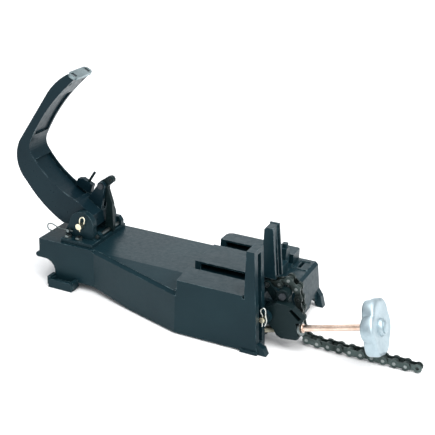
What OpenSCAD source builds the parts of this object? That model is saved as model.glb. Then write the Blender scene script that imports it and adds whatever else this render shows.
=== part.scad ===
// Chain clamping fixture: base, tilting support arm, chain and screw tensioner.
// Millimetres. +X is the knob end, +Y the far side, +Z up; z = 0 is the floor.

/* [Build] */
// which sub-part to draw

/* [Base] */
// height of the deck's top face
deck_z = 86; // [70:100]
// height of the three raised rails
rail_z = 103; // [90:120]
// half width of the narrow rear deck
rear_y = 66; // [50:80]
// outer face of the flared near side
near_y = 128; // [110:150]
// outer face of the far side
far_y = 100; // [90:120]
// where the near side starts to flare
flare_x = 118; // [90:140]
// where the rails start
rail_x = 312; // [300:330]
// wall and deck thickness
wall = 8; // [5:12]
// height of the near post
post_z = 184; // [150:200]
// height of the horned upright
horn_z = 202; // [170:220]

// the rear feet's bolt holes, x
foot_x = 55; // [45:65]

/* [Arm] */
// pivot of the arm, x
piv_x = 78; // [60:85]
// pivot of the arm, z
piv_z = 120; // [105:125]
// half width of the arm
arm_y = 28; // [24:34]
// pad screws, distance from the middle
pad_y = 21; // [14:24]

/* [Tensioner] */
// mid plane of the chain
chain_y = -50; // [-60:-40]
// mid plane of the screw
screw_y = -76; // [-80:-70]
// lever pivot x
lev_x = 469; // [460:480]
// lever pivot z
lev_z = 58; // [45:62]
// tilt of the screw above the floor, degrees
screw_tilt = 16; // [10:25]
// where the screw leaves the trunnion nut, x
nut_x = 446; // [440:452]
// where the screw leaves the trunnion nut, z
nut_z = 18; // [12:20]
// radius of the smooth rod
rod_r = 5.5; // [5:6]
// chain pitch
pitch = 19.05; // [15.875, 19.05]
// knob radius over the lobes
knob_r = 50; // [40:55]
// distance that slides the knob along the rod
knob_s = 16.5; // [-10:20]

/* [Hidden] */
$fn = 64;
C_BLACK = [0.2, 0.27, 0.3];
C_STEEL = [0.7, 0.72, 0.74];
C_ZINC = [0.85, 0.8, 0.62];
C_ROD = [0.88, 0.79, 0.72];
C_ALU = [0.78, 0.82, 0.84];
C_CHAIN = [0.25, 0.3, 0.3];
// directions of the chain's links, degrees above +X
chain_dir = [6, 33, -40, -77, -79, -86, -78, -52, -6.6, 0, 0, 0, 0, 0, 0, 0, 0, 0];
chain_x0 = 457.5;
chain_z0 = 101.1;
// pivot of the trunnion nut, on the screw's axis
tr_x = nut_x + 5;
tr_z = nut_z + 5 * tan(screw_tilt);
function cx(i) = i == 0 ? chain_x0 : cx(i - 1) + pitch * cos(chain_dir[i - 1]);
function cz(i) = i == 0 ? chain_z0 : cz(i - 1) + pitch * sin(chain_dir[i - 1]);
roll_x = 490.6;
roll_z = 92.6;
// points along an arc about a centre, between two angles
function arc(x, z, r, a0, a1, n) = [for (i = [0 : n]) let(a = a0 + (a1 - a0) * i / n)
  [x + r * cos(a), z + r * sin(a)]];
// side profile of the arm: tip, shoulder, elbow, then the hollow back down to the pivot
arm_out = concat([[61, 390], [47, 397]], arc(113, 279, 135, 120, 150, 6),
  arc(-4.5, 225, 65.5, 148, 226, 14), arc(134, 311, 227, 217, 248, 8));
arm_in = concat([[84, 96], [94, 112], [93, 136]], arc(122.4, 340.5, 192.6, 252, 215, 10),
  arc(-14.5, 246.5, 26.5, 216, 150, 7), arc(302, 101.3, 374.6, 154.6, 135.8, 8));

// a solid along Y from an X-Z outline, between two y values
module ext_y(y0, y1, pts) {
  translate([0, y1, 0]) rotate([90, 0, 0]) linear_extrude(y1 - y0) polygon(pts);
}
// a rod along Y at x, z between two y values
module rod_y(x, z, r, y0, y1) {
  translate([x, y1, z]) rotate([90, 0, 0]) cylinder(h = y1 - y0, r = r);
}
module box(x0, x1, y0, y1, z0, z1) {
  translate([x0, y0, z0]) cube([x1 - x0, y1 - y0, z1 - z0]);
}
module bar(a, b, r) {
  d = b - a;
  l = norm(d);
  translate(a) rotate([0, acos(d[2] / l), atan2(d[1], d[0])]) cylinder(h = l, r = r);
}
// bent wire of half width r in the X-Z plane at y: its outline is mitred at each bend
function way(p, i) = (p[i + 1] - p[i]) / norm(p[i + 1] - p[i]);
function side(d) = [-d[1], d[0]];
function edge(p, i, r) = i == 0 ? p[0] + r * side(way(p, 0))
  : i == len(p) - 1 ? p[i] + r * side(way(p, i - 1))
  : let(a = side(way(p, i - 1)), b = side(way(p, i))) p[i] + r * (a + b) / (1 + a * b);
module wire(y, p, r) {
  n = len(p);
  ext_y(y - r, y + r, concat([for (i = [0 : n - 1]) edge(p, i, r)],
    [for (i = [0 : n - 1]) edge(p, n - 1 - i, -r)]));
}
// frame along the screw: local z runs from the nut out to the knob
module on_screw(s) {
  translate([nut_x, screw_y, nut_z]) rotate([0, 90 - screw_tilt, 0])
    translate([0, 0, s]) children();
}

// the shared frame's origin: between the rear feet's bolt holes, on the floor
module place() {
  translate([-foot_x, 0, 0]) children();
}
module base_outline(z0, z1) {
  translate([0, 0, z0]) linear_extrude(z1 - z0) polygon([[0, -rear_y],
    [flare_x, -rear_y], [316, -near_y], [456, -near_y], [456, far_y - 4],
    [452, far_y], [rail_x + 10, far_y], [rail_x + 2, far_y - 4],
    [rail_x, far_y - 10], [rail_x, rear_y], [0, rear_y]]);
}
module base_hollow(z0, z1) {
  w = wall;
  translate([0, 0, z0]) linear_extrude(z1 - z0) polygon([[w, -rear_y + w],
    [flare_x + 1, -rear_y + w], [317, -near_y + w], [456 - w, -near_y + w],
    [456 - w, far_y - w], [rail_x + w, far_y - w], [rail_x + w, rear_y - w],
    [w, rear_y - w]]);
}
// the side wall's lower edge: high at the back, a scoop, then down to the floor
module lower_cut() {
  ext_y(-160, 160, [[-20, -2], [-20, 48], [14, 48], [20, 46.5], [26, 43], [31, 37],
    [33.5, 30], [34, 14], [112, 14], [205, 3], [440, 3], [440, -2]]);
}
// space above the flare's sloping deck, lowered by d
module flare_slope(d, l) {
  translate([100, -rear_y, deck_z - d]) rotate([7.4, 0, 0]) translate([0, -140, 0])
    cube([l, 140, 40]);
}
module foot_lug(s) {
  mirror([0, s < 0 ? 0 : 1, 0]) difference() {
    union() {
      box(30, 80, -84, -62, 0, 17);
      box(27, 33, -82, -62, 5, 21);
      box(77, 83, -82, -62, 5, 19);
    }
    box(36, 74, -80, -66, 11, 18);
    translate([foot_x, -73, -1]) cylinder(h = 14, r = 4.5);
  }
}
module claw(y0, y1, x, z) {
  ext_y(y0, y1, [[x - 4, z], [x + 6, z - 2], [x + 14, z * 0.62], [x + 20, 0],
    [x + 6, 0], [x + 2, z * 0.32], [x - 4, z * 0.4]]);
}
module base_casting() color(C_BLACK) difference() {
  union() {
    difference() {
      union() {
        base_outline(0, deck_z);
        rod_y(-3, 53, 5, -rear_y, rear_y);
        box(-3, 4, -rear_y, rear_y, 48, 58);
      }
      flare_slope(0, 216);
      // chamfer along the flare's edge
      translate([flare_x, -rear_y, deck_z]) rotate([0, 2.2, -17.4]) rotate([45, 0, 0])
        translate([-3, -3.8, -3.8]) cube([212, 7.6, 7.6]);
      difference() {
        base_hollow(-1, deck_z - wall);
        flare_slope(wall, 400);
      }
      lower_cut();
    }
    // cross webs under the deck
    box(150, 156, -70, 60, 30, deck_z - wall + 1);
    box(300, 306, -96, 60, 20, deck_z - wall + 1);
    foot_lug(-1);
    foot_lug(1);
    // rails
    translate([0, 0, deck_z - 15]) linear_extrude(rail_z - deck_z + 15)
      polygon([[rail_x + 7, -near_y], [450, -near_y], [450, -73], [rail_x + 1, -73],
        [rail_x + 2, -88]]);
    translate([0, 0, deck_z - 1]) linear_extrude(rail_z - deck_z + 1) {
      polygon([[rail_x, -43], [456, -43], [456, 36], [rail_x, 36]]);
      polygon([[rail_x, 64], [456, 64], [456, far_y - 4], [452, far_y],
        [rail_x + 10, far_y], [rail_x + 3, far_y - 4], [rail_x, far_y - 11]]);
    }
    // near post, tapering as it rises
    ext_y(-near_y, -90, [[442, 0], [469, 0], [469, 8], [456, post_z], [442, post_z]]);
    box(440, 471, -near_y - 2.5, -114, 0, 6);
    // front wall between the post and the ledge
    box(446, 456, -92, 10, 6, rail_z);
    // horned upright
    ext_y(-60, -32, [[444, rail_z - 2], [464, rail_z - 2], [464, 120], [459, horn_z - 1],
      [446, horn_z - 1]]);
    ext_y(-60, -55, [[444, rail_z - 2], [470, rail_z + 8], [460, horn_z - 4], [444, horn_z - 4]]);
    ext_y(-36, -32, [[444, rail_z - 2], [472, rail_z + 8], [461, horn_z], [444, horn_z]]);
    ext_y(-44, -41, [[444, rail_z - 2], [469, rail_z + 8], [459, horn_z - 5], [444, horn_z - 5]]);
    // short far post with a round top
    box(438, 450, 40, 58, deck_z - 1, 122);
    translate([444, 49, 121]) cylinder(h = 9, r = 5.5);
    // ledge in front of the far half
    difference() {
      union() {
        ext_y(12, far_y, [[452, 22], [500, 14], [492, 78], [487, 83], [452, 83]]);
        claw(far_y - 14, far_y, 492, 34);
      }
      // hollow behind the ledge's face
      ext_y(20, far_y - 8, [[455, 10], [490, 8], [484, 75], [455, 75]]);
      // arch under the ledge
      translate([440, 62, 10]) rotate([0, 90, 0]) cylinder(h = 60, r = 16);
      box(440, 500, 20, 74, 0, 16);
    }
    // raised frame round the ledge's slot
    difference() {
      box(458, 486, 52, 92, 82, 84.5);
      box(462, 482, 57, 87, 80, 86);
    }
    claw(-near_y + 2, -near_y + 16, 466, 20);
    // cheeks that carry the trunnion nut
    for (y = [screw_y - 20, screw_y + 12]) box(442, 461, y, y + 8, 6, 28);
    // clevis lugs that carry the lever's pin
    for (y = [-104, -61]) difference() {
      union() {
        rod_y(lev_x, lev_z, 11, y, y + (y < -90 ? 12 : 9));
        box(452, lev_x, y, y + (y < -90 ? 12 : 9), lev_z - 11, lev_z + 11);
      }
    }
  }
  // open slots in the rails' inner faces
  box(rail_x + 11, 438, -44, -12, deck_z + 1, rail_z - 3.2);
  box(rail_x + 11, 438, 63, far_y - 9, deck_z + 1, rail_z - 3.2);
  // slots through the deck beside the rails
  box(rail_x + 11, 440, -71, -45, 70, deck_z + 5);
  box(rail_x + 11, 440, 38, 62, 70, deck_z + 5);
  // groove in the post's front and the horn's front recesses
  box(456, 480, -115, -101, 14, 60);
  ext_y(-115, -101, [[449, post_z - 8], [480, post_z - 8], [480, 55], [458, 55]]);
  // ledge slot
  box(466, 472, 60, 84, 70, 90);
  // bolt holes for the pivot bracket
  for (x = [54, 77], y = [-50, 50]) translate([x, y, 60]) cylinder(h = 40, r = 4.05);
  // lever pin and trunnion seats, and the notch the chain's fixed end sits in
  rod_y(lev_x, lev_z, 5.05, -107, -50);
  box(436, 464, screw_y - 12.8, screw_y + 12.8, -1, 34);
  rod_y(tr_x, tr_z, 4.05, screw_y - 30, screw_y + 30);
  box(447, 480, -71, -38, 86, 111);
  // small notch where the near rail meets the post
  box(439, 442.5, -near_y - 1, -near_y + 7, rail_z - 5, rail_z + 1);
}

module pivot_bracket() color(C_BLACK) difference() {
  union() {
    box(44, 112, -60, 60, deck_z, deck_z + 8);
    for (s = [-1, 1]) {
      rod_y(piv_x, piv_z, 25, s < 0 ? -42 : 30, s < 0 ? -30 : 42);
      ext_y(s < 0 ? -42 : 30, s < 0 ? -30 : 42, [[44, deck_z], [106, deck_z],
        [104, 96], [102, 120], [piv_x, piv_z + 24], [53.2, 124], [44, 104]]);
    }
    // front lug with its hole
    ext_y(44, 54, [[86, deck_z], [112, deck_z], [112, 104], [106, 112], [96, 112], [90, 104]]);
    ext_y(-30, -22, [[98, deck_z], [112, deck_z], [112, 102], [104, 106], [98, 104]]);
    ext_y(42, 44.5, [[86, deck_z], [106, deck_z], [104, 96], [90, 100]]);
  }
  rod_y(piv_x, piv_z, 6.05, -70, 70);
  rod_y(53, 106, 3.05, -70, 0);
  rod_y(105, 98, 3.55, -70, 70);
  for (x = [54, 77], y = [-50, 50]) translate([x, y, 80]) cylinder(h = 40, r = 4.05);
}
module bolt_at(x, y) color(C_STEEL) {
  translate([x, y, 62]) cylinder(h = deck_z + 8 - 62, r = 4);
  translate([x, y, deck_z + 8]) cylinder(h = 5, r = 6.8, $fn = 6);
  translate([x, y, deck_z - wall - 6]) cylinder(h = 6, r = 6.8, $fn = 6);
}
module bracket_bolt_1() bolt_at(54, -50);
module bracket_bolt_2() bolt_at(54, 50);
module bracket_bolt_3() bolt_at(77, -50);
module bracket_bolt_4() bolt_at(77, 50);

module support_arm() color(C_BLACK) difference() {
  union() {
    difference() {
      ext_y(-arm_y, arm_y, concat(arm_out, arm_in));
      // shallow recess along the inner face of the lower limb
      ext_y(-arm_y + 3, arm_y - 3, concat(arc(122.4, 340.5, 199, 250, 217, 10), [[60, 260]]));
      // shallow groove along the inner face of the upper limb
      ext_y(-arm_y + 5, arm_y - 5, concat(arc(302, 101.3, 378, 153.6, 138, 8), [[60, 250]]));
      // clearance above the bracket plate
      box(10, 120, -60, 60, 60, 110);
    }
    rod_y(piv_x, piv_z, 15.5, -arm_y, arm_y);
    // knuckle that carries the brace
    for (y = [4, 20]) difference() {
      union() {
        rod_y(92, 184, 8, y, y + 7);
        ext_y(y, y + 7, [[60, 150], [92, 132], [100, 184], [92, 192], [84, 184]]);
      }
    }
    // far lug
    ext_y(arm_y - 10, arm_y, [[28, 172], [60, 156], [66, 176], [44, 186], [34, 184]]);
  }
  rod_y(piv_x, piv_z, 6.05, -70, 70);
  rod_y(92, 184, 3.55, 0, 40);
  bar([50, 23, 172], [68, 23, 201], 2.65);
  // pad screw holes
  for (y = [-pad_y, pad_y]) pad_frame() translate([0, y, -20]) cylinder(h = 30, r = 2.55);
  // flat seat for the pad
  pad_frame() translate([-40, -60, 0]) cube([80, 120, 30]);
}
// frame on the arm's tip: z leaves the seat
module pad_frame() {
  translate([53, 0, 390.5]) rotate([0, 27, 0]) children();
}
module arm_pad() color(C_STEEL) pad_frame() difference() {
  union() {
    translate([-9.5, -pad_y, 0]) cube([19, 2 * pad_y, 5]);
    for (y = [-pad_y, pad_y]) translate([0, y, 0]) cylinder(h = 5, r = 9.5);
  }
  for (y = [-pad_y, pad_y]) {
    translate([0, y, -1]) cylinder(h = 10, r = 2.6);
    translate([-5.5, y - 3.5, 2.5]) cube([11, 7, 5]);
  }
}
module pad_screw(y) color([0.12, 0.14, 0.15]) pad_frame() {
  translate([0, y, -12]) cylinder(h = 14.5, r = 2.5);
  translate([0, y, 2.5]) cylinder(h = 1.6, r = 3.4);
}
module pad_screw_1() pad_screw(-pad_y);
module pad_screw_2() pad_screw(pad_y);

module arm_pivot_pin() color(C_ZINC) difference() {
  union() {
    rod_y(piv_x, piv_z, 6, -53, 44);
    rod_y(piv_x, piv_z, 9, 42, 46);
  }
  translate([piv_x, -48, piv_z - 8]) cylinder(h = 16, r = 1.75);
}
module pivot_hairpin() color(C_ZINC) {
  wire(-48, [[piv_x, piv_z - 11], [piv_x, piv_z + 12], [piv_x + 2, piv_z + 17],
    [piv_x + 6, piv_z + 19], [piv_x + 10, piv_z + 17], [piv_x + 11, piv_z + 12],
    [piv_x + 9, piv_z + 6]], 1.2);
}
module stop_pin() color(C_STEEL) difference() {
  union() {
    rod_y(53, 106, 3, -50, -29);
    rod_y(53, 106, 4.6, -30, -28.4);
  }
  translate([45, -46, 106]) rotate([0, 90, 0]) cylinder(h = 16, r = 1.5);
}
module stop_hairpin() color(C_STEEL) {
  wire(-46, [[62, 106], [30, 106], [22, 110], [15, 112], [9, 110], [6, 105], [8, 100],
    [13, 97], [19, 98]], 1);
}
// brace that holds the arm up: eye on the arm, open fork over the cross rod
module brace_link() color(C_BLACK) difference() {
  union() {
    rod_y(92, 184, 9, 11.3, 19.7);
    ext_y(11.3, 19.7, [[84, 184], [100, 186], [112, 150], [114, 104], [113, 94.6],
      [108.8, 94.6], [108.8, 101.2], [97, 101.2], [97, 104], [100, 150]]);
    rod_y(108, 197, 7, 11.3, 19.7);
    ext_y(11.3, 19.7, [[96, 176], [115, 195], [103, 203], [86, 190]]);
  }
  rod_y(92, 184, 3.55, 0, 40);
  rod_y(105, 98, 3.8, 0, 40);
  rod_y(108, 197, 3, 0, 40);
}
module brace_pin() color(C_STEEL) {
  rod_y(92, 184, 3.5, 3, 29);
  rod_y(92, 184, 5.5, 27, 30);
  rod_y(92, 184, 5.5, 1, 4);
}
module brace_handle() color(C_BLACK) {
  bar([50, 23, 172], [68, 23, 201], 2.6);
}
module cross_rod() color(C_STEEL) {
  rod_y(105, 98, 3.5, -34, 58);
  rod_y(105, 98, 3.9, 54, 58);
}

module tension_lever() color(C_BLACK) difference() {
  union() {
    rod_y(lev_x, lev_z, 12, -89.5, -61.5);
    // near part, with its flat face square to the screw
    ext_y(-89.5, -76, [[458, 55], [462, 47], [474, 41], [482, 34], [489, 24], [497, 21],
      [524, 24], [527.5, 27], [519.5, 55], [531, 57], [534, 63], [514, 80], [500, 84],
      [484, 84], [474, 76], [460, 66]]);
    // far part, lower so that it clears the chain
    ext_y(-76.5, -61.5, [[458, 55], [462, 47], [474, 41], [482, 34], [489, 24], [497, 21],
      [524, 24], [527.5, 27], [519.5, 55], [511, 62], [502, 80], [500, 95], [482, 95],
      [474, 76], [460, 66]]);
    rod_y(roll_x, roll_z, 11, -77, -61.5);
    // strut that carries the chain's fixed end
    rod_y(chain_x0, chain_z0, 6.5, -66, -61.5);
    ext_y(-66, -61.5, [[451.5, 98.5], [463.5, 103.5], [486, 82], [474, 70]]);
  }
  rod_y(lev_x, lev_z, 5.05, -100, -50);
  // slanted slot in the near face
  ext_y(-95, -80, [[507, 75], [512, 79], [530, 65], [525, 60]]);
  // oversize hole for the screw
  on_screw(20) cylinder(h = 75, r = 7.6);
  rod_y(roll_x, roll_z, 4.05, -100, -50);
  rod_y(chain_x0, chain_z0, 2.95, -100, -30);
}
module lever_pin() color(C_ZINC) difference() {
  union() {
    rod_y(lev_x, lev_z, 5, -112, -51);
    rod_y(lev_x, lev_z, 7.5, -52, -48);
  }
  translate([lev_x, -108, lev_z - 8]) cylinder(h = 16, r = 1.75);
}
module lever_hairpin() color(C_STEEL) {
  wire(-108, [[lev_x, lev_z - 13], [lev_x, lev_z + 8], [lev_x - 3.6, lev_z + 12],
    [lev_x - 4.2, lev_z + 17], [lev_x - 1, lev_z + 21], [lev_x + 3, lev_z + 20],
    [lev_x + 5, lev_z + 16], [lev_x + 4, lev_z + 11], [lev_x + 6.8, lev_z + 5],
    [lev_x + 7, lev_z - 2], [lev_x + 4.5, lev_z - 11]], 1.2);
}
module chain_roller() color(C_BLACK) difference() {
  rod_y(roll_x, roll_z, 8.6, -53.3, -46.7);
  rod_y(roll_x, roll_z, 4.05, -70, -30);
}
module roller_bolt() color(C_STEEL) {
  rod_y(roll_x, roll_z, 4, -77, -42);
  rod_y(roll_x, roll_z, 6, -61.3, -54.2);
  rod_y(roll_x, roll_z, 6, -45.8, -41);
  translate([roll_x, -77, roll_z]) rotate([90, 0, 0]) cylinder(h = 4, r = 6.5, $fn = 6);
}
module chain_anchor_pin() color(C_STEEL) {
  rod_y(chain_x0, chain_z0, 2.9, -69, -40.3);
  rod_y(chain_x0, chain_z0, 4.6, -69, -66.1);
}

module trunnion_nut() color(C_STEEL) difference() {
  union() {
    rod_y(tr_x, tr_z, 11, screw_y - 11.7, screw_y + 11.7);
    rod_y(tr_x, tr_z, 4, screw_y - 19, screw_y + 19);
  }
  on_screw(-30) cylinder(h = 60, r = 6.05);
}
module thrust_washer() color(C_STEEL) on_screw(81.5) difference() {
  cylinder(h = 4, r = 13);
  translate([0, 0, -1]) cylinder(h = 10, r = rod_r + 0.05);
}
module tension_screw() color(C_ROD) on_screw(0) {
  // thread drawn as rings
  translate([0, 0, -12]) cylinder(h = 60, r = 5.1);
  for (i = [0 : 25]) translate([0, 0, -11 + i * 2.2]) {
    cylinder(h = 0.8, r1 = 5.1, r2 = 6);
    translate([0, 0, 0.8]) cylinder(h = 0.8, r1 = 6, r2 = 5.1);
  }
  translate([0, 0, 46]) cylinder(h = knob_s + 166, r = rod_r);
  translate([0, 0, 85.8]) cylinder(h = 2.5, r = rod_r + 2.5);
}
module knob() color(C_ALU) on_screw(knob_s) difference() {
  union() {
    translate([0, 0, 178]) cylinder(h = 8, r = 13);
    translate([0, 0, 186]) cylinder(h = 20, r = 30);
    for (i = [0 : 5]) rotate([0, 0, i * 60 + 12]) translate([knob_r - 14, 0, 186]) {
      translate([0, 0, 2]) cylinder(h = 18, r = 14);
      cylinder(h = 2, r1 = 12, r2 = 14);
      translate([0, 0, 20]) cylinder(h = 2.5, r1 = 14, r2 = 11);
    }
    translate([0, 0, 206]) cylinder(h = 6, r = 14);
  }
  // hollows between the lobes
  for (i = [0 : 5]) rotate([0, 0, i * 60 + 42]) translate([knob_r - 5, 0, 180])
    cylinder(h = 40, r = 13.2);
  translate([0, 0, 170]) cylinder(h = 60, r = rod_r);
  translate([0, 0, 182]) rotate([90, 0, 0]) cylinder(h = 20, r = 2.05);
}
module knob_screw() color(C_STEEL) on_screw(knob_s + 182) rotate([90, 0, 0])
  difference() {
    translate([0, 0, rod_r + 0.05]) cylinder(h = 7, r = 2);
    translate([0, 0, 10]) cylinder(h = 5, r = 1.1, $fn = 6);
  }
module knob_cap() color(C_ALU) on_screw(knob_s + 212) {
  cylinder(h = 2.5, r = 10.5);
  translate([0, 0, 2.5]) cylinder(h = 1.5, r1 = 10.5, r2 = 7);
}

// one chain plate, from pin a to pin b of link i, between two y values
module plate(i, y0, y1, h) {
  a = [cx(i), cz(i)];
  translate([a[0], y1, a[1]]) rotate([90, 0, 0]) rotate([0, 0, chain_dir[i]]) {
    cylinder(h = y1 - y0, r = h);
    translate([pitch, 0, 0]) cylinder(h = y1 - y0, r = h);
    translate([0, -h * 0.72, 0]) cube([pitch, h * 1.44, y1 - y0]);
  }
}
module chain_link(i) color(C_CHAIN) {
  c = chain_y;
  if (i % 2 == 0) {
    // outer link: two plates riveted on two pins; the first one is open for the anchor pin
    difference() {
      union() {
        for (y = [c - 9.2, c + 7]) plate(i, y, y + 2.2, 7.4);
        for (k = [i, i + 1]) if (k > 0) rod_y(cx(k), cz(k), 2.9, c - 9.9, c + 9.9);
      }
      if (i == 0) rod_y(cx(0), cz(0), 2.95, c - 12, c + 12);
    }
  } else {
    // inner link: two plates joined by two bushes, bored through together
    difference() {
      union() {
        for (y = [c - 6.2, c + 4]) plate(i, y, y + 2.2, 7.4);
        for (k = [i, i + 1]) rod_y(cx(k), cz(k), 5.4, c - 4.1, c + 4.1);
      }
      for (k = [i, i + 1]) rod_y(cx(k), cz(k), 2.95, c - 12, c + 12);
    }
  }
}
module chain_link_01() chain_link(0);
module chain_link_02() chain_link(1);
module chain_link_03() chain_link(2);
module chain_link_04() chain_link(3);
module chain_link_05() chain_link(4);
module chain_link_06() chain_link(5);
module chain_link_07() chain_link(6);
module chain_link_08() chain_link(7);
module chain_link_09() chain_link(8);
module chain_link_10() chain_link(9);
module chain_link_11() chain_link(10);
module chain_link_12() chain_link(11);
module chain_link_13() chain_link(12);
module chain_link_14() chain_link(13);
module chain_link_15() chain_link(14);
module chain_link_16() chain_link(15);
module chain_link_17() chain_link(16);
module chain_link_18() chain_link(17);

place() base_casting();
place() pivot_bracket();
place() bracket_bolt_1();
place() bracket_bolt_2();
place() bracket_bolt_3();
place() bracket_bolt_4();
place() support_arm();
place() arm_pad();
place() pad_screw_1();
place() pad_screw_2();
place() arm_pivot_pin();
place() pivot_hairpin();
place() stop_pin();
place() stop_hairpin();
place() brace_link();
place() brace_pin();
place() brace_handle();
place() cross_rod();
place() tension_lever();
place() lever_pin();
place() lever_hairpin();
place() chain_roller();
place() roller_bolt();
place() chain_anchor_pin();
place() trunnion_nut();
place() thrust_washer();
place() tension_screw();
place() knob();
place() knob_screw();
place() knob_cap();
place() chain_link_01();
place() chain_link_02();
place() chain_link_03();
place() chain_link_04();
place() chain_link_05();
place() chain_link_06();
place() chain_link_07();
place() chain_link_08();
place() chain_link_09();
place() chain_link_10();
place() chain_link_11();
place() chain_link_12();
place() chain_link_13();
place() chain_link_14();
place() chain_link_15();
place() chain_link_16();
place() chain_link_17();
place() chain_link_18();
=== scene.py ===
"""Looks for the chain clamping fixture: paint, metals, wire clips, thread, knob, camera and light.

Lengths are in metres, in the shared frame: +X to the knob, +Y to the far side, +Z up.
"""

import math

import bmesh
import bpy
from mathutils import Matrix, Vector


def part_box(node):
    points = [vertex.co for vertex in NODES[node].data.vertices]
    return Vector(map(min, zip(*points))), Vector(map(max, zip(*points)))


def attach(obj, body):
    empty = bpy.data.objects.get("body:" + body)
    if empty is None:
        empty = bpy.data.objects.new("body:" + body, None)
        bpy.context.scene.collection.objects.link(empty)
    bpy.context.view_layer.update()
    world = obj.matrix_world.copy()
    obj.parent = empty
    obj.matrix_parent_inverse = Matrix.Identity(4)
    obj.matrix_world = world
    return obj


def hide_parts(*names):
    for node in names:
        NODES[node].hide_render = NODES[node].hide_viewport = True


MM = 0.001
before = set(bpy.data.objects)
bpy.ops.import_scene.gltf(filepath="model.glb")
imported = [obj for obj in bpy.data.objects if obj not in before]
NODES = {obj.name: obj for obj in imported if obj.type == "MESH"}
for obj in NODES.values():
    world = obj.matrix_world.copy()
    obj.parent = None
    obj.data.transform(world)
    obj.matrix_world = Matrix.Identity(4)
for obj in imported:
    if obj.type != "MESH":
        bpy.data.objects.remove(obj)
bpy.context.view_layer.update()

# ---------------------------------------------------------------- driving values
FRAME_SHIFT = 55  # mm; a place in part.scad has this much more X than in the shared frame
SCREW_TILT = math.radians(16)  # how far the screw rises above level
NUT = Vector((391, -76, 18)) * MM  # where the screw's axis crosses the trunnion nut
KNOB_S = 16.5 * MM  # how far the knob and the rod's end stand out from their first place
THREAD_PITCH = 2.2 * MM
THREAD_R = 6.0 * MM
THREAD_ROOT_R = 5.15 * MM
THREAD_START, THREAD_END = -12 * MM, 47.5 * MM  # along the screw, from the nut
ROD_R = 5.5 * MM
ROD_LENGTH = 212 * MM
KNOB_R = 50 * MM
KNOB_LOBES = 6
CAM_TARGET = Vector((0.2787, -0.0034, 0.1748))
CAM_DISTANCE = 1.7074
CAM_AZ, CAM_EL, CAM_ROLL = (math.radians(v) for v in (23.951, 22.680, 2.329))
CAM_LENS = 80.67
SENSOR = 36.0


# ---------------------------------------------------------------- material helpers
class Nodes:
    """A small wrapper that makes a material's node tree readable."""

    def __init__(self, name):
        self.mat = bpy.data.materials.new(name)
        self.mat.use_nodes = True
        self.tree = self.mat.node_tree
        self.bsdf = self.tree.nodes["Principled BSDF"]
        self.coords = self.add("ShaderNodeTexCoord").outputs["Object"]

    def add(self, kind, **props):
        node = self.tree.nodes.new(kind)
        for key, value in props.items():
            setattr(node, key, value)
        return node

    def link(self, a, b):
        self.tree.links.new(a, b)

    def noise(self, scale, detail=4.0, rough=0.55, stretch=None):
        node = self.add("ShaderNodeTexNoise")
        node.inputs["Scale"].default_value = scale
        node.inputs["Detail"].default_value = detail
        node.inputs["Roughness"].default_value = rough
        vector = self.coords
        if stretch:
            mapping = self.add("ShaderNodeMapping")
            mapping.inputs["Scale"].default_value = stretch
            self.link(vector, mapping.inputs["Vector"])
            vector = mapping.outputs["Vector"]
        self.link(vector, node.inputs["Vector"])
        return node.outputs["Fac"]

    def ramp(self, fac, stops):
        node = self.add("ShaderNodeValToRGB")
        while len(node.color_ramp.elements) < len(stops):
            node.color_ramp.elements.new(0.5)
        for element, (place, colour) in zip(node.color_ramp.elements, stops):
            element.position = place
            element.color = (*colour, 1.0)
        self.link(fac, node.inputs["Fac"])
        return node.outputs["Color"]

    def span(self, fac, low, high, start=0.3, end=0.7):
        node = self.add("ShaderNodeMapRange")
        node.inputs["From Min"].default_value = start
        node.inputs["From Max"].default_value = end
        node.inputs["To Min"].default_value = low
        node.inputs["To Max"].default_value = high
        self.link(fac, node.inputs["Value"])
        return node.outputs["Result"]

    def mix(self, fac, a, b):
        node = self.add("ShaderNodeMix", data_type="RGBA")
        self.link(fac, node.inputs["Factor"])
        self.link(a, node.inputs["A"])
        self.link(b, node.inputs["B"])
        return node.outputs["Result"]

    def bump(self, heights):
        """Chains bumps of (height socket, strength, distance in metres)."""
        last = None
        for height, strength, distance in heights:
            node = self.add("ShaderNodeBump")
            node.inputs["Strength"].default_value = strength
            node.inputs["Distance"].default_value = distance
            self.link(height, node.inputs["Height"])
            if last:
                self.link(last, node.inputs["Normal"])
            last = node.outputs["Normal"]
        self.link(last, self.bsdf.inputs["Normal"])

    def edges(self, radius=1.6 * MM, samples=4):
        """High along edges, found by comparing a rounded normal with the real one."""
        bevel = self.add("ShaderNodeBevel", samples=samples)
        bevel.inputs["Radius"].default_value = radius
        plain = self.add("ShaderNodeNewGeometry").outputs["Normal"]
        dot = self.add("ShaderNodeVectorMath", operation="DOT_PRODUCT")
        self.link(bevel.outputs["Normal"], dot.inputs[0])
        self.link(plain, dot.inputs[1])
        return self.span(dot.outputs["Value"], 1.0, 0.0, 0.86, 0.985)


# Colour of the brighter paint edges: partly worn paint, partly a painted highlight along the
# edges.
WORN_AND_HIGHLIGHT_EDGE = (0.10, 0.15, 0.165)
COLD_GLOSS = (0.62, 0.86, 0.95, 1.0)
COLD_COAT = (0.62, 0.88, 0.95, 1.0)


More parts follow.
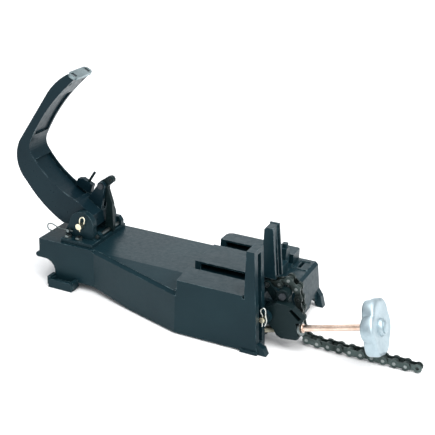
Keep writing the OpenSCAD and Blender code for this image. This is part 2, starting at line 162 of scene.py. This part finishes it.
def paint(name, dark, light, worn_and_highlight=WORN_AND_HIGHLIGHT_EDGE, roughness=0.36, grain=900.0, coat=0.07):
    """Satin paint over a sand-cast surface: cloudy tint, fine grain, and brighter edges that are
    partly wear and partly a painted highlight.
    """
    m = Nodes(name)
    cloud = m.noise(9.0, 3.0)
    fine = m.noise(grain, 3.0, 0.6)
    lumps = m.noise(140.0, 4.0, 0.6)
    tint = m.ramp(cloud, [(0.35, dark), (0.65, light)])
    # The edge mask times the chip noise sets where the brighter edge colour goes. That colour is
    # partly wear and partly a painted highlight along the sharp edges.
    chips = m.span(m.noise(60.0, 6.0, 0.7), 0.0, 1.0, 0.48, 0.62)
    rim = m.add("ShaderNodeMath", operation="MULTIPLY")
    m.link(m.edges(), rim.inputs[0])
    m.link(chips, rim.inputs[1])
    edge = m.ramp(fine, [(0.3, worn_and_highlight), (0.7, tuple(c * 1.25 for c in worn_and_highlight))])
    m.link(m.mix(rim.outputs[0], tint, edge), m.bsdf.inputs["Base Color"])
    m.link(m.span(lumps, roughness - 0.07, roughness + 0.1), m.bsdf.inputs["Roughness"])
    m.bsdf.inputs["Coat Weight"].default_value = coat
    m.bsdf.inputs["Coat Roughness"].default_value = 0.3
    m.bsdf.inputs["Specular IOR Level"].default_value = 0.15
    m.bsdf.inputs["Specular Tint"].default_value = COLD_GLOSS
    m.bsdf.inputs["Coat Tint"].default_value = COLD_COAT
    m.bump([(lumps, 0.30, 0.0006), (fine, 0.22, 0.00022)])
    return m.mat


def metal(name, base, dark, roughness, scratch=(1.0, 1.0, 1.0), grain=700.0, depth=0.0001,
          metallic=1.0):
    """Bare or plated metal with stains, brushed or cast grain and uneven gloss."""
    m = Nodes(name)
    patch = m.noise(35.0, 5.0, 0.65)
    fine = m.noise(grain, 3.0, 0.5, stretch=scratch)
    bright = tuple(min(1, c * 1.1) for c in base)
    tint = m.ramp(patch, [(0.30, dark), (0.62, base), (0.85, bright)])
    m.link(tint, m.bsdf.inputs["Base Color"])
    m.bsdf.inputs["Metallic"].default_value = metallic
    m.link(m.span(fine, roughness - 0.08, roughness + 0.12), m.bsdf.inputs["Roughness"])
    m.bump([(fine, 0.35, depth)])
    return m.mat


PAINT = paint("black_paint", (0.0040, 0.0150, 0.0205), (0.0060, 0.0200, 0.0260))
PAINT_ARM = paint("black_paint_arm", (0.0030, 0.0115, 0.0170), (0.0050, 0.0160, 0.0220),
                  roughness=0.33, grain=1100.0)
PAINT_LEVER = paint("black_paint_lever", (0.0035, 0.0095, 0.0105), (0.0060, 0.0140, 0.0150),
                    worn_and_highlight=(0.040, 0.055, 0.058), roughness=0.40, grain=700.0)
PAD = metal("bright_steel_pad", (0.30, 0.375, 0.39), (0.17, 0.22, 0.235), 0.34,
            scratch=(1.0, 0.06, 1.0), grain=1500.0, depth=0.00006)
ZINC = metal("zinc_yellow", (0.86, 0.83, 0.66), (0.60, 0.52, 0.34), 0.26)
WIRE = metal("bright_wire", (0.80, 0.83, 0.80), (0.42, 0.44, 0.40), 0.24)
COPPER = metal("copper_rod", (0.80, 0.63, 0.53), (0.60, 0.42, 0.32), 0.30,
               scratch=(0.05, 1.0, 1.0), grain=1400.0, depth=0.00005)
THREAD = metal("thread_steel", (0.50, 0.48, 0.38), (0.20, 0.20, 0.16), 0.38)
ALUMINIUM = metal("cast_aluminium", (0.42, 0.51, 0.55), (0.30, 0.38, 0.42), 0.42,
                  grain=420.0, depth=0.00022, metallic=0.75)
CHAIN = metal("chain_steel", (0.085, 0.115, 0.110), (0.020, 0.030, 0.029), 0.36, metallic=0.85)
CHAIN_PIN = metal("chain_pin", (0.34, 0.38, 0.37), (0.16, 0.18, 0.18), 0.32)
HUB = metal("hub_steel", (0.30, 0.35, 0.34), (0.13, 0.16, 0.155), 0.34)
STEEL_DARK = metal("dark_steel", (0.24, 0.28, 0.28), (0.08, 0.10, 0.10), 0.36)
BLACK_SCREW = metal("black_screw", (0.05, 0.06, 0.07), (0.02, 0.024, 0.028), 0.42, metallic=0.6)


# ---------------------------------------------------------------- mesh helpers
def dress(obj, *materials):
    obj.data.materials.clear()
    for m in materials:
        obj.data.materials.append(m)


def soften(obj, width, segments=2, angle=35.0):
    """Rounds the sharp edges of a node and shades it smooth."""
    obj.data.shade_smooth()
    bevel = obj.modifiers.new("soft_edges", "BEVEL")
    bevel.width = width
    bevel.segments = segments
    bevel.limit_method = "ANGLE"
    bevel.angle_limit = math.radians(angle)
    bevel.harden_normals = True
    bevel.use_clamp_overlap = True
    bevel.miter_outer = "MITER_ARC"


def new_piece(name, bm, material, body):
    """Makes an object from a bmesh and puts it on its body."""
    mesh = bpy.data.meshes.new(name)
    bmesh.ops.recalc_face_normals(bm, faces=bm.faces)
    bm.to_mesh(mesh)
    bm.free()
    obj = bpy.data.objects.new(name, mesh)
    bpy.context.scene.collection.objects.link(obj)
    mesh.materials.append(material)
    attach(obj, body)
    return obj


def tube(name, points, radius, material, body):
    """A round wire through points, with smooth bends and closed ends."""
    curve = bpy.data.curves.new(name, "CURVE")
    curve.dimensions = "3D"
    curve.bevel_depth = radius
    curve.bevel_resolution = 5
    curve.resolution_u = 10
    curve.use_fill_caps = True
    spline = curve.splines.new("NURBS")
    spline.points.add(len(points) - 1)
    for p, co in zip(spline.points, points):
        p.co = (*co, 1.0)
    spline.use_endpoint_u = True
    spline.order_u = 3
    curve.materials.append(material)
    obj = bpy.data.objects.new(name, curve)
    bpy.context.scene.collection.objects.link(obj)
    bpy.context.view_layer.update()
    graph = bpy.context.evaluated_depsgraph_get()
    mesh = bpy.data.meshes.new_from_object(obj.evaluated_get(graph))
    bpy.data.objects.remove(obj)
    solid = bpy.data.objects.new(name, mesh)
    bpy.context.scene.collection.objects.link(solid)
    mesh.shade_smooth()
    dress(solid, material)
    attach(solid, body)
    return solid


def screw_frame(s=0.0):
    """Local z runs out along the screw; s is the distance from its zero point."""
    return (Matrix.Translation(NUT) @ Matrix.Rotation(math.pi / 2 - SCREW_TILT, 4, "Y")
            @ Matrix.Translation((0, 0, s)))


def around(radius, angle, height):
    """A point at a radius, an angle and a height about local z."""
    return Vector((radius * math.cos(angle), radius * math.sin(angle), height))


def lathe(bm, profile, steps, matrix):
    """Turns (radius, height) points about local z; a radius of 0 is a single point."""
    rings = []
    for radius, height in profile:
        count = steps if radius else 1
        rings.append([bm.verts.new(matrix @ around(radius, 2 * math.pi * i / steps, height))
                      for i in range(count)])
    for lower, upper in zip(rings, rings[1:]):
        for i in range(steps):
            j = (i + 1) % steps
            quad = [lower[i % len(lower)], lower[j % len(lower)],
                    upper[j % len(upper)], upper[i % len(upper)]]
            quad = [v for k, v in enumerate(quad) if v not in quad[:k]]
            if len(quad) > 2:
                bm.faces.new(quad)


# ---------------------------------------------------------------- the carried-over nodes
NODE_MATERIAL = {
    "base_casting": PAINT, "pivot_bracket": PAINT, "support_arm": PAINT_ARM,
    "brace_link": PAINT_LEVER, "brace_handle": PAINT_LEVER, "tension_lever": PAINT_LEVER,
    "chain_roller": STEEL_DARK, "thrust_washer": STEEL_DARK, "trunnion_nut": STEEL_DARK,
    "cross_rod": STEEL_DARK, "arm_pad": PAD,
    "arm_pivot_pin": ZINC, "lever_pin": ZINC, "stop_pin": STEEL_DARK, "brace_pin": BLACK_SCREW,
    "roller_bolt": BLACK_SCREW, "chain_anchor_pin": CHAIN_PIN, "knob_screw": STEEL_DARK,
    "knob_cap": ALUMINIUM, "pad_screw_1": BLACK_SCREW, "pad_screw_2": BLACK_SCREW,
}
PLAIN_EDGE = 0.35  # mm
EDGE_MM = {"base_casting": 1.3, "pivot_bracket": 1.2, "support_arm": 1.8, "tension_lever": 1.2,
           "brace_link": 0.9, "arm_pad": 0.5, "thrust_washer": 0.5, "trunnion_nut": 0.6}
for name, node in NODES.items():
    if name.startswith("chain_link"):
        dress(node, CHAIN, CHAIN_PIN)
    elif name.startswith("bracket_bolt"):
        dress(node, STEEL_DARK)
    else:
        dress(node, NODE_MATERIAL.get(name, WIRE))
    soften(node, EDGE_MM.get(name, PLAIN_EDGE) * MM)

# The pins stand out past the outer links' plates, and only those links are wider than
# INNER_WIDTH. Their faces that lie in the outermost PIN_SKIN on either side take the bright
# second material.
INNER_WIDTH = 18 * MM
PIN_SKIN = 0.35 * MM
for name, node in NODES.items():
    near, far = (corner[1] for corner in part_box(name))
    if name.startswith("chain_link") and far - near > INNER_WIDTH:
        for face in node.data.polygons:
            if min(face.center.y - near, far - face.center.y) < PIN_SKIN:
                face.material_index = 1


# ---------------------------------------------------------------- wire clips
def clip(name, node, plane, points, radius, material):
    """A flat wire clip that stands for a node. Its (x, z) points, in mm and in part.scad's
    frame, lie in the upright plane y = plane."""
    places = [Vector((x - FRAME_SHIFT, plane, z)) * MM for x, z in points]
    wire = tube(name, places, radius * MM, material, "base")
    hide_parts(node)


# from below the pivot pin's head, up through it and round in a hook
px, pz = 78, 120
clip("pivot_clip_wire", "pivot_hairpin", -48,
     [(px, pz - 11), (px, pz), (px, pz + 12), (px + 2, pz + 17), (px + 6, pz + 19),
      (px + 10, pz + 17), (px + 11, pz + 12), (px + 9, pz + 6)],
     1.2, ZINC)

# a long straight leg out of the near ear, ending in a ring
clip("stop_clip_wire", "stop_hairpin", -46,
     [(62, 106), (45, 106), (30, 106), (22, 110), (15, 112), (8, 110), (6, 105), (7.5, 99),
      (13, 97), (19, 98)],
     1.3, STEEL_DARK)

# straight leg through the lever's pin, then a loop and a waved leg outside it
lx, lz = 469, 58
clip("lever_clip_wire", "lever_hairpin", -108,
     [(lx, lz - 13), (lx, lz), (lx, lz + 8), (lx - 4, lz + 12), (lx - 4.2, lz + 18),
      (lx, lz + 22), (lx + 4.6, lz + 19), (lx + 4.8, lz + 12), (lx + 5.4, lz + 7),
      (lx + 7.4, lz + 2), (lx + 7.2, lz - 4), (lx + 4.5, lz - 11)],
     1.2, WIRE)


# ---------------------------------------------------------------- screw with a real helical thread
def threaded_rod():
    """The screw: a helical thread at the nut's end, then a plain rod with a collar."""
    bm = bmesh.new()
    steps = 48
    rows_per_pitch = 12
    run_in, run_out = 2 * MM, 3 * MM  # how far the thread takes to reach full height
    flank = 1.35  # above 1, so that the crests come out flat
    length = THREAD_END - THREAD_START
    rows = int(length / (THREAD_PITCH / rows_per_pitch))
    rings = []
    for row in range(rows + 1):
        height = THREAD_START + length * row / rows
        fade = min(1.0, (height - THREAD_START) / run_in, (THREAD_END - height) / run_out)
        ring = []
        for i in range(steps):
            phase = (height / THREAD_PITCH - i / steps) % 1.0
            crest = 1 - abs(2 * phase - 1)
            radius = (THREAD_ROOT_R
                      + (THREAD_R - THREAD_ROOT_R) * max(0.0, fade) * min(1.0, crest * flank))
            place = around(radius, 2 * math.pi * i / steps, height)
            ring.append(bm.verts.new(screw_frame() @ place))
        rings.append(ring)
    for lower, upper in zip(rings, rings[1:]):
        for i in range(steps):
            j = (i + 1) % steps
            bm.faces.new((lower[i], lower[j], upper[j], upper[i])).material_index = 1
    bm.faces.new(rings[0][::-1]).material_index = 1
    bm.faces.new(rings[-1]).material_index = 1

    end = KNOB_S + ROD_LENGTH
    chamfer = 0.6 * MM
    collar_r, collar_low, collar_high = 8 * MM, 85.9 * MM, 88.3 * MM
    lathe(bm, [(0, THREAD_END - 1 * MM), (THREAD_ROOT_R, THREAD_END - 1 * MM),
               (ROD_R, THREAD_END + chamfer), (ROD_R, collar_low),
               (collar_r - chamfer, collar_low), (collar_r, collar_low + 0.5 * MM),
               (collar_r, collar_high - chamfer), (collar_r - chamfer, collar_high),
               (ROD_R, collar_high), (ROD_R, end - chamfer), (ROD_R - chamfer, end), (0, end)],
          64, screw_frame())
    rod = new_piece("tension_screw_thread", bm, COPPER, "screw")
    rod.data.materials.append(THREAD)
    return rod


def smooth_by_angle(obj, degrees):
    obj.data.shade_smooth()
    obj.data.set_sharp_from_angle(angle=math.radians(degrees))


def star_knob():
    """Cast lobed knob: one closed skin whose rim follows a lobed curve, hubs front and back."""
    bm = bmesh.new()
    steps = 180
    turn = math.radians(12)
    deep, shallower, front_from, front_over = 9.5, 5.5, 190, 14  # mm

    def rim(angle, inset, height):
        """The rim's radius: its scallops are deep at the back and shallow at the front."""
        wave = 0.5 + 0.5 * math.cos(KNOB_LOBES * (angle - turn))
        depth = deep - shallower * min(1.0, max(0.0, (height - front_from) / front_over))
        return (KNOB_R - 0.4 * MM - inset) - (1 - wave ** 0.5) * depth * MM

    back_hub_rows = 4
    rows = [  # (height mm, radius mm or None for the rim, inset mm)
        (178, 5.6, 0), (178, 12.2, 0), (179, 13, 0), (185.5, 13.6, 0),
        (186.4, 16, 0), (186.6, 22, 0),
        (186.2, None, 7), (186.6, None, 3.4), (188.0, None, 1.2), (190.2, None, 0.2),
        (196, None, 0), (203, None, 0.2), (205.6, None, 1.2), (207.4, None, 3.4),
        (208.2, None, 7), (207.8, None, 11),
        (206.4, 18, 0), (206.6, 15.2, 0), (211.2, 14.2, 0), (212, 13.4, 0), (212, 5.6, 0)]
    seat = screw_frame(KNOB_S)
    rings = []
    for height, radius, inset in rows:
        ring = []
        for i in range(steps):
            angle = 2 * math.pi * i / steps
            reach = radius * MM if radius else rim(angle, inset * MM, height)
            ring.append(bm.verts.new(seat @ around(reach, angle, height * MM)))
        rings.append(ring)
    for row, (lower, upper) in enumerate(zip(rings, rings[1:] + rings[:1])):
        for i in range(steps):
            j = (i + 1) % steps
            face = bm.faces.new((lower[i], lower[j], upper[j], upper[i]))
            face.material_index = 1 if row < back_hub_rows else 0
    knob = new_piece("star_knob_cast", bm, ALUMINIUM, "screw")
    knob.data.materials.append(HUB)
    return knob


rod = threaded_rod()
smooth_by_angle(rod, 40)
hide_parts("tension_screw")
knob = star_knob()
smooth_by_angle(knob, 50)
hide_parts("knob")


# ---------------------------------------------------------------- floor, light and camera
def turn_to(obj, direction):
    """Points an object's -z along a direction."""
    obj.rotation_mode = "QUATERNION"
    obj.rotation_quaternion = direction.to_track_quat("-Z", "Y")


def area_light(name, place, aim, size, power, colour=(1, 1, 1)):
    data = bpy.data.lights.new(name, "AREA")
    data.shape = "RECTANGLE"
    data.size, data.size_y = size
    data.energy = power
    data.color = colour
    obj = bpy.data.objects.new(name, data)
    bpy.context.scene.collection.objects.link(obj)
    obj.location = place
    turn_to(obj, Vector(aim) - Vector(place))


def soft_sun(direction, strength, spread):
    """Even light from above, whose wide disc keeps the shadows soft."""
    data = bpy.data.lights.new("soft_sun", "SUN")
    data.energy = strength
    data.angle = math.radians(spread)
    obj = bpy.data.objects.new("soft_sun", data)
    bpy.context.scene.collection.objects.link(obj)
    turn_to(obj, Vector(direction))


def pale_floor():
    """A wide disc of pale matt paper under the object."""
    bm = bmesh.new()
    bmesh.ops.create_circle(bm, cap_ends=True, segments=96, radius=16.0)
    mesh = bpy.data.meshes.new("floor")
    bm.to_mesh(mesh)
    bm.free()
    obj = bpy.data.objects.new("floor", mesh)
    bpy.context.scene.collection.objects.link(obj)
    m = Nodes("floor_paper")
    tint = m.ramp(m.noise(3.0, 2.0), [(0.3, (0.93, 0.935, 0.94)), (0.7, (0.95, 0.95, 0.95))])
    m.link(tint, m.bsdf.inputs["Base Color"])
    m.bsdf.inputs["Roughness"].default_value = 0.95
    m.bsdf.inputs["Specular IOR Level"].default_value = 0.1
    mesh.materials.append(m.mat)


pale_floor()
soft_sun((-0.35, 0.25, -1.0), 2.0, 70)
area_light("overhead", (0.1, -0.1, 2.0), (0.25, 0, 0), (2.2, 1.6), 22)
area_light("right_key", (2.0, -0.6, 1.3), (0.3, 0, 0.1), (1.5, 1.2), 25, (1.0, 0.99, 0.97))
area_light("back_softbox", (-0.65, 2.1, 1.15), (0.3, 0, 0.1), (1.3, 0.7), 6)
area_light("left_fill", (-1.2, -1.9, 0.9), (0.2, 0, 0.15), (1.6, 1.2), 3, (0.93, 0.97, 1.0))

world = bpy.data.worlds.new("studio")
world.use_nodes = True
background = world.node_tree.nodes["Background"]
background.inputs["Color"].default_value = (0.93, 0.96, 1.0, 1.0)
background.inputs["Strength"].default_value = 0.55
bpy.context.scene.world = world

# the dark paint keeps its depth only with the plain transform
bpy.context.scene.view_settings.view_transform = "Standard"

camera = bpy.data.objects.new("camera", bpy.data.cameras.new("camera"))
bpy.context.scene.collection.objects.link(camera)
camera.data.lens = CAM_LENS
camera.data.sensor_width = SENSOR
camera.data.clip_start, camera.data.clip_end = 0.05, 20.0
back = Vector((math.sin(CAM_AZ) * math.cos(CAM_EL),
               -math.cos(CAM_AZ) * math.cos(CAM_EL),
               math.sin(CAM_EL)))
camera.location = CAM_TARGET + back * CAM_DISTANCE
camera.rotation_mode = "QUATERNION"
aim = (-back).to_track_quat("-Z", "Y")
roll = Matrix.Rotation(CAM_ROLL, 4, "Z").to_quaternion()
camera.rotation_quaternion = aim @ roll
bpy.context.scene.camera = camera
